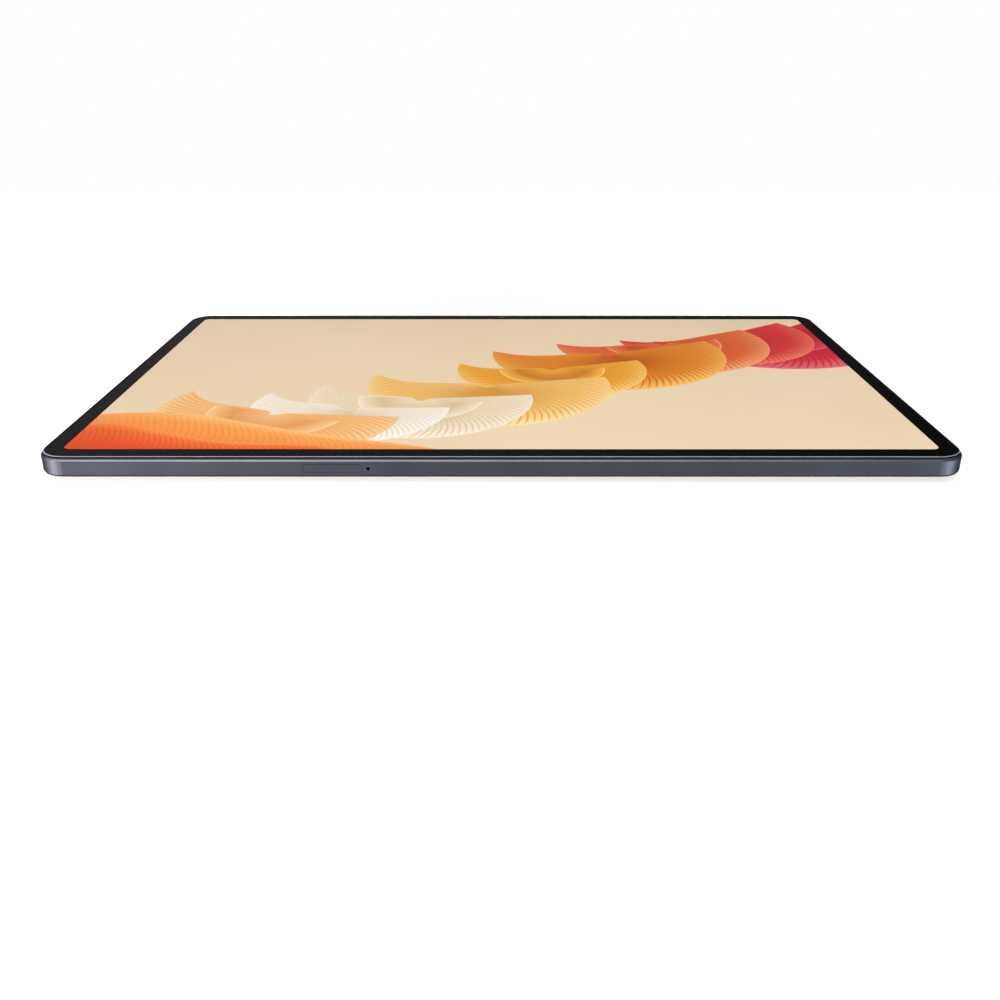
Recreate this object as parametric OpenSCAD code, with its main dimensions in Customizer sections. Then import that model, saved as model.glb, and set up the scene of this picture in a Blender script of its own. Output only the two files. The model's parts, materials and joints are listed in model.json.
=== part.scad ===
// Tablet computer in a metal rear housing, with a bonded display, a round rear camera island,
// volume and power keys, and a card tray with its eject rod and lever.
// The origin is the centre of the flat back. +Z points out of the screen, +X to the right
// of a reader holding the tablet in landscape, and +Y to the top long edge.

/* [Body] */
// Length of the body along X
body_l = 261; // [258:0.5:264]
// Width of the body along Y
body_w = 164.2; // [163.2:0.2:166]
// Thickness from the flat back to the top of the glass
body_t = 6; // [6:0.1:6.6]
// Outer corner radius
corner_r = 8.5; // [7.5:0.5:10]
// Thickness of the upper side wall, beside the display
wall = 1.2; // [1.1:0.1:1.3]
// Thickness of the lower side wall, which ends in the display's ledge
wall_low = 2; // [1.9:0.1:2.1]
// Thickness of the back
back_t = 0.8; // [0.7:0.05:0.85]
// Rounding around the back
back_round = 0.7; // [0.4:0.1:0.8]
// Chamfer around the front of the metal
front_chamfer = 0.4; // [0.2:0.05:0.4]

/* [Display] */
// Distance of the glass's edge inside the metal's outline
glass_inset = 0.7; // [0.5:0.05:0.8]
// Height of the glass top above the metal
glass_proud = 0.8; // [0.7:0.05:0.9]
// Thickness of the cover glass
glass_t = 0.6; // [0.55:0.05:0.65]
// Width of the bevel around the glass top
glass_bevel_w = 0.4; // [0.2:0.05:0.6]
// Height of the bevel around the glass top
glass_bevel_h = 0.3; // [0.2:0.05:0.4]
// Length of the picture
picture_l = 249.4; // [248:0.2:250]
// Width of the picture
picture_w = 150.4; // [148:0.2:150.6]

/* [Rear strip] */
// Distance from the centre line to the strip's inner edge
strip_y = 46.3; // [45:0.5:47]
// Thickness of the strip
strip_t = 0.5; // [0.4:0.05:0.5]

/* [Rear camera] */
// Camera island centre along X
island_x = -112.5; // [-113:0.5:-112]
// Camera island centre along Y
island_y = 63.5; // [63:0.5:64]
// Radius of the island's base
island_r = 16.3; // [15.5:0.1:16.5]
// Height of the island above the back
island_h = 1.6; // [1.6:0.1:2.5]
// Half the distance between the two round windows
window_offset = 6.6; // [6.5:0.1:6.7]
// Radius of a window's hole in the disc
window_r = 5.5; // [5.4:0.1:5.6]
// Focus travel of the lens barrel
focus_travel = 0.25; // [0.1:0.05:0.25]

/* [Keys] */
// Centre of the volume rocker along X
rocker_x = -104.65; // [-105:0.05:-104]
// Length of the volume rocker
rocker_l = 22; // [20:0.5:22.5]
// Centre of the power button along Y
power_y = 62; // [61.5:0.5:62.5]
// Length of the power button
power_l = 11; // [9:0.5:11]
// Height of both keys
key_h = 2; // [1.6:0.1:2.1]
// How far the keys stand out of the wall
key_proud = 0.3; // [0.2:0.05:0.4]

/* [Card tray] */
// Centre of the card tray along X
tray_x = -46.9; // [-47.5:0.1:-46.5]
// Length of the tray's face
tray_l = 16.6; // [16.4:0.1:16.8]
// Height of the tray's face
tray_h = 2.4; // [2.2:0.1:2.4]
// Depth of the tray, from its face to its tail
tray_depth = 24; // [23.5:0.5:24]

/* [Sound] */
// Distance of a speaker's centre from the X axis
speaker_y = 33; // [32:0.5:33.5]
// Holes in one speaker grille
grille_count = 10; // [6:1:11]
// Distance between grille holes
grille_pitch = 2.2; // [2:0.1:2.3]
// Radius of a grille hole
grille_r = 0.55; // [0.4:0.05:0.7]
// Places of the two microphone holes along X
mic_x = [-29.4, 30.2];

/* [Hidden] */
$fn = 64;

half_l = body_l / 2;
half_w = body_w / 2;
far = 20;                                   // past every face that a cutter must clear
past = 200;                                 // past the whole body

edge_inset = [1, 0.3, 0];                   // two flat bands round the back's edge, as shares of it
edge_z = [0, 0.3, 1];

// Levels of the display stack
metal_top = body_t - glass_proud;
glass_z = body_t - glass_t;
lcd_z = glass_z - 0.5;
guide_z = lcd_z - 0.6;
tray_z = guide_z - 0.15;                    // underside of the backlight tray
ledge_z = tray_z + 0.2;                     // where the lower wall ends
adhesive_t = 0.15;
rim_inset = glass_inset + 0.05;
rim_lip = 0.3;
rim_leg_inset = wall + 0.05;
rim_inner_inset = 3;
lcd_l = picture_l + 3.2;
lcd_w = picture_w + 3;
front_camera_y = half_w - 3.65;

// Levels of the boards
board_z = 1.6;
board_t = 0.8;
board_top = board_z + board_t;
plug_h = 0.5;
cell_z = back_t + 0.15;
cell_top = 3.85;
frame_top = 3.9;
flex_z = 3.95;
flex_t = 0.12;
port_z = 2.65;                              // mid height of the keys, microphones and grilles
card_z = 2.7;                               // mid height of the card tray and the eject hole

// Screws that fix boards, speakers and brackets to the housing's bosses
boss_r = 1.8;
screw_r = 0.65;
screw_head_r = 1.3;
screw_head_h = 0.5;
screw_hole_r = 0.75;
thread_r = 0.7;
thread_floor = 0.4;
main_screws = [[-89, 52], [-89, 73.5], [-15, 52], [-15, 73.5], [59, 52], [59, 73.5]];
sim_screws = [[-69, -56], [-31, -56]];
port_screws = [[116, -9.6], [116, 9.6]];
display_screws = [[8, -69], [82, -69]];
frame_screws = [[-100, -54.5], [0, -54.5], [100, -54.5]];
bracket_screws = [[-97.6, 58], [-97.6, 69]];
speaker_x = 123.2;
speaker_reach = 18;                         // from a speaker's centre to its screws
speaker_screws = [for (x = [-1, 1], y = [-1, 1], e = [-1, 1])
    [x * (speaker_x - 1), y * speaker_y + e * speaker_reach]];
all_screws = concat(main_screws, sim_screws, port_screws, display_screws, frame_screws,
    bracket_screws, speaker_screws);

// Battery bay
bay_x = 112;
bay_y = [-49.5, 46.8];
bay_wall = 1.2;
cell_l = 110;
cell_y = [-49, 43];

// Boards
main_box = [[-92, 49], [62, 76.5]];
sim_box = [[-72, -78.5], [-28, -51.2]];
port_box = [[113.4, -12], [128.4, 12]];
driver_box = [[5, -76], [85, -62]];

// Camera island
disc_t = 0.8;
carrier_r = 12.5;
module_size = 8.6;
module_top = 3.8;
bracket_top = 4.05;
barrel_r = 3.2;
barrel_gap = 0.05;
window_x = [island_x - window_offset, island_x + window_offset];

// Keys, as depths behind the outer wall
key_gap = 0.15;
flange_depth = [1.55, 2.05];
nub_depth = 2.25;
fulcrum_depth = 1.8;
dome_depth = [2.6, 2.85];
switch_depth = [2.85, 3.45];
rib_depth = 4.75;
rib_top = 3.6;
key_z = [1.25, 4.1];
dome_r = 1.2;
rocker_nub = 8;
flange_reach = 0.7;                         // how far a key's flange runs past its slot

// Card tray, reader and eject parts
tray_body_l = 14;
tray_body_t = 1;
tray_face_t = 1;
reader_x = [-57, -35.5];
reader_y = [-79.7, -53.6];
reader_z = [1.8, 3.6];
rod_x = -37;
rod_r = 0.45;
pin_hole_r = 0.475;
lever_pivot = [-42, -56.2];
lever_pin_r = 0.5;
lever_t = 0.8;
lever_right = 5.6;
lever_left = 3.4;

// USB-C receptacle, to its standard sizes
usb_z = 2.45;
usb_l = 8.94;
usb_h = 3.16;
usb_wall = 0.3;
usb_x = [122.4, half_l - 0.25];
usb_tongue_l = 6.69;
usb_tongue_t = 0.7;

// Plain helpers

module block(x, y, z) {
    translate([x[0], y[0], z[0]]) cube([x[1] - x[0], y[1] - y[0], z[1] - z[0]]);
}

module centred_block(x, y, size, z) {
    translate([x - size[0] / 2, y - size[1] / 2, z[0]]) cube([size[0], size[1], z[1] - z[0]]);
}

module rounded(l, w, r) {
    square([l - 2 * r, w], center = true);
    square([l, w - 2 * r], center = true);
    for (x = [-1, 1], y = [-1, 1]) translate([x * (l / 2 - r), y * (w / 2 - r)]) circle(r = r);
}

module stadium(l, h) {
    square([l - h, h], center = true);
    for (x = [-1, 1]) translate([x * (l - h) / 2, 0]) circle(d = h);
}

// Slab with the body's own outline, moved inwards by inset
module slab(inset, z) {
    translate([0, 0, z[0]]) linear_extrude(z[1] - z[0])
        rounded(body_l - 2 * inset, body_w - 2 * inset, corner_r - inset);
}

module rounded_slab(l, w, r, z) {
    translate([0, 0, z[0]]) linear_extrude(z[1] - z[0]) rounded(l, w, r);
}

// Sloping band with the body's outline: inset i[0] at height z[0], inset i[1] at height z[1]
module flare(i, z) {
    x = [for (k = [0, 1]) half_l - i[k]];
    y = [for (k = [0, 1]) half_w - i[k]];
    rotate([90, 0, 0]) linear_extrude(body_w - 2 * corner_r, center = true)
        polygon([[-x[0], z[0]], [x[0], z[0]], [x[1], z[1]], [-x[1], z[1]]]);
    rotate([90, 0, 90]) linear_extrude(body_l - 2 * corner_r, center = true)
        polygon([[-y[0], z[0]], [y[0], z[0]], [y[1], z[1]], [-y[1], z[1]]]);
    for (sx = [-1, 1], sy = [-1, 1])
        translate([sx * (half_l - corner_r), sy * (half_w - corner_r), z[0]])
            cylinder(r1 = corner_r - i[0], r2 = corner_r - i[1], h = z[1] - z[0]);
}

// Stadium that runs along Y through a long side, or along X through a short side
module slot_y(x, z, l, h, y) {
    translate([x, y[0], z]) rotate([-90, 0, 0]) linear_extrude(y[1] - y[0]) stadium(l, h);
}

module slot_x(y, z, l, h, x) {
    translate([x[0], y, z]) rotate([90, 0, 90]) linear_extrude(x[1] - x[0]) stadium(l, h);
}

module rod_y(x, z, r, y) {
    translate([x, y[0], z]) rotate([-90, 0, 0]) cylinder(r = r, h = y[1] - y[0]);
}

module rod_x(y, z, r, x) {
    translate([x[0], y, z]) rotate([0, 90, 0]) cylinder(r = r, h = x[1] - x[0]);
}

module post(p, r, z) {
    translate([p[0], p[1], z[0]]) cylinder(r = r, h = z[1] - z[0]);
}

// Flat cable that runs along Y: path holds [y, z] points of its underside
module flex_y(x, width, path, t) {
    n = len(path);
    upper = [for (k = [n - 1:-1:0]) path[k] + [0, t]];
    translate([x - width / 2, 0, 0]) rotate([90, 0, 90]) linear_extrude(width)
        polygon(concat(path, upper));
}

// Circuit board with its screw holes
module board(box, holes) {
    difference() {
        block([box[0][0], box[1][0]], [box[0][1], box[1][1]], [board_z, board_top]);
        for (p = holes) post(p, screw_hole_r, [board_z - 1, board_top + 1]);
    }
}

// Housing and its covers

module housing_blank() {
    for (k = [0, 1]) flare(back_round * [edge_inset[k], edge_inset[k + 1]],
        back_round * [edge_z[k], edge_z[k + 1]]);
    slab(0, [back_round, metal_top - front_chamfer]);
    flare([0, front_chamfer], [metal_top - front_chamfer, metal_top]);
}

module rf_windows() {
    block([66, 96], [59, 78], [-far, far]);
    block([98, 124], [59, 78], [-far, far]);
}

// Rib behind a key's switch board, along the long side (x) or the short side (y)
module key_rib(along, centre, length) {
    deep = [switch_depth[1], rib_depth];
    span = [centre - length / 2, centre + length / 2];
    if (along == "x")
        block(span, [half_w - deep[1], half_w - deep[0]], [back_t - 0.1, rib_top]);
    else
        block([-half_l + deep[0], -half_l + deep[1]], span, [back_t - 0.1, rib_top]);
}

module grille_holes() {
    for (side = [-1, 1], row = [-1, 1], k = [0:grille_count - 1])
        rod_x(row * speaker_y + (k - (grille_count - 1) / 2) * grille_pitch, port_z, grille_r,
            side > 0 ? [half_l - wall_low - 1, half_l + 1] : [-half_l - 1, -half_l + wall_low + 1]);
}

module rear_housing() {
    key_slot = key_h + 2 * key_gap;
    pocket_x = rocker_l / 2 + flange_reach + 0.55;
    pocket_y = power_l / 2 + flange_reach + 0.55;
    color("slategray") difference() {
        union() {
            difference() {
                housing_blank();
                slab(wall, [ledge_z, far]);
                slab(wall_low, [back_t, far]);
            }
            for (p = all_screws) post(p, boss_r, [back_t - 0.1, board_z]);
            key_rib("x", rocker_x, rocker_l + 1);
            key_rib("y", power_y, power_l + 1);
        }
        for (p = all_screws) post(p, thread_r, [thread_floor, far]);
        // recess and windows under the antenna strip
        intersection() {
            slab(back_round + 0.2, [-1, strip_t]);
            block([-body_l, body_l], [strip_y, body_w], [-1, strip_t]);
        }
        rf_windows();
        post([island_x, island_y], carrier_r + 0.1, [-1, board_z]);
        // keys
        slot_y(rocker_x, port_z, rocker_l + 2 * key_gap, key_slot, [half_w - wall_low - 1, half_w + 1]);
        block([rocker_x - pocket_x, rocker_x + pocket_x], [half_w - wall_low - 0.5, half_w - wall], key_z);
        slot_x(power_y, port_z, power_l + 2 * key_gap, key_slot, [-half_l - 1, -half_l + wall_low + 1]);
        block([-half_l + wall, -half_l + wall_low + 0.5], [power_y - pocket_y, power_y + pocket_y], key_z);
        // card tray, eject hole, USB-C, microphones and speakers
        slot_y(tray_x, card_z, tray_l + 0.2, tray_h + 0.2, [-half_w - 1, -half_w + wall_low + 1]);
        rod_y(rod_x, card_z, pin_hole_r, [-half_w - 1, -half_w + wall_low + 1]);
        slot_x(0, usb_z, usb_l + 0.2, usb_h + 0.2, [half_l - wall_low - 1, half_l + 1]);
        for (x = mic_x) rod_y(x, port_z, 0.45, [half_w - wall_low - 1, half_w + 1]);
        grille_holes();
    }
}

module antenna_strip() {
    color("gray") difference() {
        intersection() {
            slab(back_round + 0.25, [0, strip_t]);
            block([-body_l, body_l], [strip_y + 0.1, body_w], [-1, 1]);
        }
        post([island_x, island_y], carrier_r + 0.1, [-1, 1]);
    }
}

module mid_frame() {
    color("dimgray") difference() {
        union() {
            difference() {
                block([-bay_x - bay_wall, bay_x + bay_wall], [bay_y[0] - bay_wall, bay_y[1] + bay_wall],
                    [back_t, frame_top]);
                block([-bay_x, -0.5], bay_y, [back_t - 1, far]);
                block([0.5, bay_x], bay_y, [back_t - 1, far]);
                block([-1, 1], [cell_y[1] + 1.2, bay_y[1]], [back_t - 1, far]);
            }
            for (p = frame_screws)
                block([p[0] - 3, p[0] + 3], [p[1] - 2.6, bay_y[0] - bay_wall + 0.2], [board_z, board_top]);
        }
        for (p = frame_screws) post(p, screw_hole_r, [back_t - 1, board_top + 1]);
    }
}

// Display

module display_rim() {
    color("black") difference() {
        union() {
            slab(rim_inset, [metal_top, glass_z]);
            slab(rim_leg_inset, [ledge_z, metal_top + 0.01]);
        }
        slab(rim_inset + rim_lip, [glass_z - adhesive_t, far]);
        slab(rim_inner_inset, [ledge_z - 1, far]);
        centred_block(0, front_camera_y, [5.4, 4], [0, far]);
    }
}

module display_adhesive() {
    color("dimgray") difference() {
        slab(rim_inset + rim_lip + 0.05, [glass_z - adhesive_t, glass_z]);
        slab(rim_inner_inset - 0.1, [0, far]);
        centred_block(0, front_camera_y, [5.4, 4], [0, far]);
    }
}

module cover_glass() {
    color("darkslategray", 0.5) union() {
        slab(glass_inset, [glass_z, body_t - glass_bevel_h]);
        flare([glass_inset, glass_inset + glass_bevel_w], [body_t - glass_bevel_h, body_t]);
    }
}

module lcd_panel() {
    color("orange") rounded_slab(lcd_l, lcd_w, 1, [lcd_z, glass_z]);
}

module light_guide() {
    color("white") rounded_slab(lcd_l - 1.2, lcd_w - 2, 1, [guide_z, lcd_z]);
}

module backlight_tray() {
    color("silver") difference() {
        rounded_slab(lcd_l - 0.6, lcd_w - 1.4, 1.3, [tray_z, lcd_z]);
        rounded_slab(lcd_l - 1, lcd_w - 1.8, 1.1, [guide_z, far]);
    }
}

module display_flex() {
    start = -lcd_w / 2 + 0.6;
    out = -half_w + 3.35;
    outer = [[start, lcd_z], [out + 0.3, lcd_z], [out, lcd_z - 0.3],
        [out, board_top + 0.8], [out + 0.3, board_top + plug_h], [-71, board_top + plug_h]];
    inner = [[-71, board_top + plug_h + flex_t], [out + 0.37, board_top + plug_h + flex_t],
        [out + flex_t, board_top + 0.87], [out + flex_t, lcd_z - 0.37], [out + 0.37, lcd_z - flex_t],
        [start, lcd_z - flex_t]];
    color("goldenrod") union() {
        translate([25, 0, 0]) rotate([90, 0, 90]) linear_extrude(40) polygon(concat(outer, inner));
        block([30, 60], [-75, -71.5], [board_top, board_top + plug_h]);
    }
}

module display_board() {
    color("darkgreen") union() {
        board(driver_box, display_screws);
        for (x = [14, 24, 66]) centred_block(x, -66, [6, 5], [board_top, board_top + 1]);
    }
}

module display_link() {
    top = board_top + plug_h;
    color("goldenrod") union() {
        flex_y(46, 14, [[-68, top], [-63, top], [-53, flex_z], [bay_y[1] + 2, flex_z], [52, top],
            [55.5, top]], flex_t);
        block([41, 51], [-68, -65], [board_top, top]);
        block([41, 51], [52.5, 55.5], [board_top, top]);
    }
}

module front_camera() {
    color("black") union() {
        centred_block(0, front_camera_y, [5, 3.2], [board_top, 4.9]);
        post([0, front_camera_y], 1.45, [4.9, glass_z - 0.05]);
    }
}

module light_sensor() {
    color("dimgray") centred_block(8, -half_w + 3.6, [2.4, 1], [ledge_z + 0.2, glass_z - 0.3]);
}

// Battery

module cell(x0) {
    block([x0, x0 + cell_l], cell_y, [cell_z, cell_top]);
    block([x0 + 4, x0 + cell_l - 4], [cell_y[1], cell_y[1] + 1.4], [cell_z + 0.8, cell_z + 1]);
}

module battery_cell_left() {
    color("darkgray") cell(-1 - cell_l);
}

module battery_cell_right() {
    color("darkgray") cell(1);
}

module battery_tape() {
    color("white") for (x = [-86, -26, 26, 86]) centred_block(x, -3, [14, 84], [back_t, cell_z]);
}

module battery_board() {
    color("darkgreen") union() {
        block([-62, 62], [44.6, 46.6], [board_z, board_top]);
        for (x = [-40, -10, 24]) centred_block(x, 45.6, [6, 1.6], [board_top, board_top + 0.7]);
    }
}

module battery_flex() {
    top = board_top + plug_h;
    color("goldenrod") union() {
        flex_y(4, 10, [[44.8, board_top], [45.3, board_top], [46.2, flex_z], [bay_y[1] + 1.6, flex_z],
            [50.6, top], [54.2, top]], flex_t);
        block([-0.4, 8.4], [51.2, 54], [board_top, top]);
    }
}

// Boards and cooling

module main_board() {
    color("darkgreen") union() {
        board(main_box, main_screws);
        centred_block(-60, 62, [12, 12], [board_top, board_top + 0.9]);
        centred_block(-78, 62, [10, 9], [board_top, board_top + 0.8]);
        for (x = [-34, -24]) centred_block(x, 61, [6, 8], [board_top, board_top + 0.8]);
        for (x = [20:6:38]) centred_block(x, 72, [3, 2], [board_top, board_top + 0.7]);
    }
}

// Pressed can over part of a board: open below, 0.15 sheet
module shield(x, y, h) {
    sheet = 0.15;
    difference() {
        block(x, y, [board_top, board_top + h]);
        block([x[0] + sheet, x[1] - sheet], [y[0] + sheet, y[1] - sheet],
            [board_top - 1, board_top + h - sheet]);
    }
}

module processor_shield() {
    color("silver") shield([-85, -50], [54, 72], 1.5);
}

module radio_shield() {
    color("silver") shield([-39, -19], [55, 71], 1.3);
}

module graphite_sheet() {
    color("dimgray") block([-85, -50], [54, 72], [board_top + 1.5, board_top + 1.6]);
}

// Rear camera island, below the back

module camera_base_ring() {
    color("black") difference() {
        union() {
            post([island_x, island_y], island_r, [-0.35, 0]);
            post([island_x, island_y], island_r - 0.25, [-island_h + disc_t, -0.35]);
        }
        post([island_x, island_y], carrier_r + 0.05, [-far, 1]);
    }
}

module camera_disc() {
    rim = island_r - 0.25;
    color("gray") difference() {
        translate([island_x, island_y, -island_h]) rotate_extrude()
            polygon([[0, 0], [rim - 0.4, 0], [rim, 0.4], [rim, disc_t], [0, disc_t]]);
        for (x = window_x) {
            post([x, island_y], window_r, [-far, 1]);
            translate([x, island_y, -island_h - 0.01])
                cylinder(r1 = window_r + 0.31, r2 = window_r, h = 0.31);
        }
    }
}

module trim_ring(x) {
    bottom = -island_h + 0.2;
    difference() {
        post([x, island_y], window_r - 0.05, [bottom, -island_h + disc_t]);
        post([x, island_y], window_r - 0.5, [-far, -island_h + disc_t - 0.15]);
        post([x, island_y], window_r - 1, [-far, 1]);
    }
}

module camera_trim_ring() {
    color("dimgray") trim_ring(window_x[0]);
}

module flash_trim_ring() {
    color("dimgray") trim_ring(window_x[1]);
}

module window_disc(x) {
    post([x, island_y], window_r - 0.52, [-island_h + 0.25, -island_h + disc_t - 0.15]);
}

module camera_window() {
    color("black", 0.5) window_disc(window_x[0]);
}

module flash_window() {
    color("black", 0.5) window_disc(window_x[1]);
}

module camera_carrier() {
    top = -island_h + disc_t;
    color("dimgray") difference() {
        post([island_x, island_y], carrier_r, [top, back_t]);
        centred_block(window_x[0], island_y, [module_size + 0.1, module_size + 0.1], [-far, far]);
        centred_block(window_x[1], island_y, [5.1, 5.1], [-far, 0.1]);
    }
}

module rear_camera() {
    color("black") difference() {
        union() {
            centred_block(window_x[0], island_y, [module_size, module_size], [-0.35, 3.2]);
            centred_block(window_x[0], island_y, [module_size - 0.8, module_size - 0.8], [3.2, module_top]);
        }
        post([window_x[0], island_y], barrel_r + barrel_gap, [-far, 2.9]);
    }
}

module rear_lens_barrel() {
    front = -island_h + disc_t - 0.15 + focus_travel + 0.05;
    color("black") difference() {
        post([window_x[0], island_y], barrel_r, [front, 2.6]);
        translate([window_x[0], island_y, front - 0.01]) cylinder(r1 = 2.4, r2 = 1.3, h = 0.5);
        translate([window_x[0], island_y, front + 0.48]) cylinder(r = 1.3, h = 0.15);
    }
}

module flash_led() {
    color("khaki") union() {
        centred_block(window_x[1], island_y, [5, 5], [-0.45, 0.1]);
        for (x = [-1, 1], y = [-1, 1])
            post([window_x[1] + x * 1.15, island_y + y * 1.15], 0.8, [-0.75, -0.45]);
    }
}

module camera_bracket() {
    post_x = bracket_screws[0][0];
    color("silver") difference() {
        union() {
            block([window_x[0] - 4, post_x - 2], [island_y - 4.5, island_y + 4.5],
                [module_top + 0.05, bracket_top]);
            block([post_x - 2.2, post_x - 2], [island_y - 4.5, island_y + 4.5], [board_z, bracket_top]);
            block([post_x - 2.2, post_x + 2], [island_y - 7.8, island_y + 7.8], [board_z, board_top]);
        }
        for (p = bracket_screws) post(p, screw_hole_r, [0, board_top + 0.2]);
    }
}

// Keys

module volume_rocker() {
    face = [half_w - flange_depth[0], half_w + key_proud];
    color("slategray") union() {
        slot_y(rocker_x, port_z, rocker_l, key_h, face);
        block([rocker_x - rocker_l / 2 - flange_reach, rocker_x + rocker_l / 2 + flange_reach],
            [half_w - flange_depth[1], half_w - flange_depth[0]], [port_z - 1, port_z + 1]);
        // round fulcrum that the rocker tilts on
        post([rocker_x, half_w - fulcrum_depth], nub_depth - fulcrum_depth, [port_z - 1, port_z + 1]);
        for (x = [-rocker_nub, rocker_nub])
            rod_y(rocker_x + x, port_z, 0.6, [half_w - nub_depth, half_w - flange_depth[1]]);
    }
}

module volume_switch_board() {
    color("goldenrod") union() {
        block([rocker_x - 12, rocker_x + 12], [half_w - switch_depth[1], half_w - switch_depth[0]],
            [key_z[0], key_z[1] - 0.2]);
        // rest for the rocker's fulcrum
        block([rocker_x - 0.6, rocker_x + 0.6], [half_w - switch_depth[0], half_w - nub_depth - 0.05],
            [port_z - 1, port_z + 1]);
    }
}

module power_button() {
    face = [-half_l - key_proud, -half_l + flange_depth[0]];
    color("slategray") union() {
        slot_x(power_y, port_z, power_l, key_h, face);
        block([-half_l + flange_depth[0], -half_l + flange_depth[1]],
            [power_y - power_l / 2 - flange_reach, power_y + power_l / 2 + flange_reach],
            [port_z - 1, port_z + 1]);
        rod_x(power_y, port_z, 0.6, [-half_l + flange_depth[1], -half_l + nub_depth]);
    }
}

module power_switch_board() {
    color("goldenrod") block([-half_l + switch_depth[0], -half_l + switch_depth[1]],
        [power_y - 6, power_y + 6], [key_z[0], key_z[1] - 0.2]);
}

module key_domes() {
    color("silver") union() {
        for (x = [-rocker_nub, rocker_nub])
            rod_y(rocker_x + x, port_z, dome_r, [half_w - dome_depth[1], half_w - dome_depth[0]]);
        rod_x(power_y, port_z, dome_r, [-half_l + dome_depth[0], -half_l + dome_depth[1]]);
    }
}

// Card tray, reader and eject parts

module sim_tray() {
    tail = -half_w + tray_depth;
    color("slategray") difference() {
        union() {
            slot_y(tray_x, card_z, tray_l, tray_h, [-half_w, -half_w + tray_face_t]);
            block([tray_x - tray_body_l / 2, tray_x + tray_body_l / 2],
                [-half_w + tray_face_t, tail], [card_z - tray_body_t / 2, card_z + tray_body_t / 2]);
        }
        // card pockets, open above, over narrower windows for the contacts
        block([tray_x - 6.2, tray_x + 6.2], [tail - 10, tail - 1], [card_z - 0.2, far]);
        block([tray_x - 5, tray_x + 5], [tail - 9.2, tail - 1.8], [-far, far]);
        block([tray_x - 5.6, tray_x + 5.6], [-half_w + 3.2, tail - 10.8], [card_z - 0.2, far]);
        block([tray_x - 4.6, tray_x + 4.6], [-half_w + 4, tail - 11.6], [-far, far]);
    }
}

module sim_tray_seal() {
    y = [-half_w + tray_face_t + 0.2, -half_w + tray_face_t + 0.8];
    color("black") difference() {
        slot_y(tray_x, card_z, tray_l, tray_h, y);
        block([tray_x - tray_body_l / 2, tray_x + tray_body_l / 2], [-past, past],
            [card_z - tray_body_t / 2, card_z + tray_body_t / 2]);
    }
}

module sim_reader() {
    gap = 0.1;
    tail = -half_w + tray_depth;
    color("silver") union() {
        difference() {
            block(reader_x, reader_y, reader_z);
            block([tray_x - tray_body_l / 2 - gap, tray_x + tray_body_l / 2 + gap],
                [reader_y[0] - 1, lever_pivot[1] - 1],
                [card_z - tray_body_t / 2 - gap, card_z + tray_body_t / 2 + gap]);
            block([rod_x - 0.6, rod_x + 0.6], [reader_y[0] - 1, lever_pivot[1]],
                [card_z - 0.6, card_z + 0.6]);
            block([lever_pivot[0] - 5, reader_x[1] - 0.3], [tail, reader_y[1] - 0.3],
                [card_z - 0.6, card_z + 0.6]);
        }
        post(lever_pivot, lever_pin_r, [reader_z[0] + 0.1, reader_z[1] - 0.1]);
        for (x = [[reader_x[0] - 1.5, reader_x[0]], [reader_x[1], reader_x[1] + 1.5]])
            block(x, [-74, -60], [board_top, board_top + 0.2]);
    }
}

module sim_board() {
    color("darkgreen") difference() {
        union() {
            board(sim_box, sim_screws);
            centred_block(-64.5, -66, [5, 8], [board_top, board_top + 1]);
        }
        block([reader_x[0] - 0.2, reader_x[1] + 0.2], [-past, reader_y[1] + 0.2], [0, far]);
    }
}

module sim_flex() {
    top = board_top + plug_h;
    color("goldenrod") union() {
        flex_y(-64, 8, [[-59, top], [-55.5, top], [-52, flex_z], [bay_y[1] + 1.6, flex_z],
            [50.4, top], [52.8, top]], flex_t);
        block([-67, -61], [-59, -56.5], [board_top, top]);
        block([-67, -61], [50.6, 52.8], [board_top, top]);
    }
}

module eject_rod() {
    color("silver") rod_y(rod_x, card_z, rod_r, [reader_y[0] + 0.1, lever_pivot[1] - lever_t / 2 - 0.15]);
}

module eject_lever() {
    z = [card_z - 0.4, card_z + 0.4];
    color("silver") difference() {
        union() {
            block([lever_pivot[0] - lever_left, lever_pivot[0] + lever_right],
                [lever_pivot[1] - lever_t / 2, lever_pivot[1] + lever_t / 2], z);
            post(lever_pivot, 1, z);
            block([lever_pivot[0] - lever_left, lever_pivot[0] - lever_left + 0.7],
                [lever_pivot[1] - 0.9, lever_pivot[1]], z);
        }
        post(lever_pivot, lever_pin_r + 0.05, [0, far]);
    }
}

// USB-C port

module usb_shell() {
    color("silver") difference() {
        slot_x(0, usb_z, usb_l, usb_h, usb_x);
        slot_x(0, usb_z, usb_l - 2 * usb_wall, usb_h - 2 * usb_wall, [usb_x[0] + 1, past]);
    }
}

module usb_tongue() {
    color("black") block([usb_x[0] + 1, usb_x[0] + 6.2], [-usb_tongue_l / 2, usb_tongue_l / 2],
        [usb_z - usb_tongue_t / 2, usb_z + usb_tongue_t / 2]);
}

module port_board() {
    color("darkgreen") difference() {
        union() {
            board(port_box, port_screws);
            centred_block(119.5, -1, [4, 5], [board_top, board_top + 0.8]);
        }
        block([usb_x[0] - 0.2, past], [-usb_l / 2 - 0.1, usb_l / 2 + 0.1], [0, far]);
    }
}

module port_flex() {
    top = board_top + plug_h;
    inner_x = 113.8;
    outer_x = 117;
    color("goldenrod") union() {
        translate([0, 0, top]) linear_extrude(flex_t)
            polygon([[outer_x, 4], [outer_x, 69], [53, 69], [53, 65], [inner_x, 65], [inner_x, 4]]);
        block([inner_x, outer_x], [4, 7.6], [board_top, top]);
        block([53, 57], [65, 69], [board_top, top]);
    }
}

// Speakers and microphones

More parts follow.
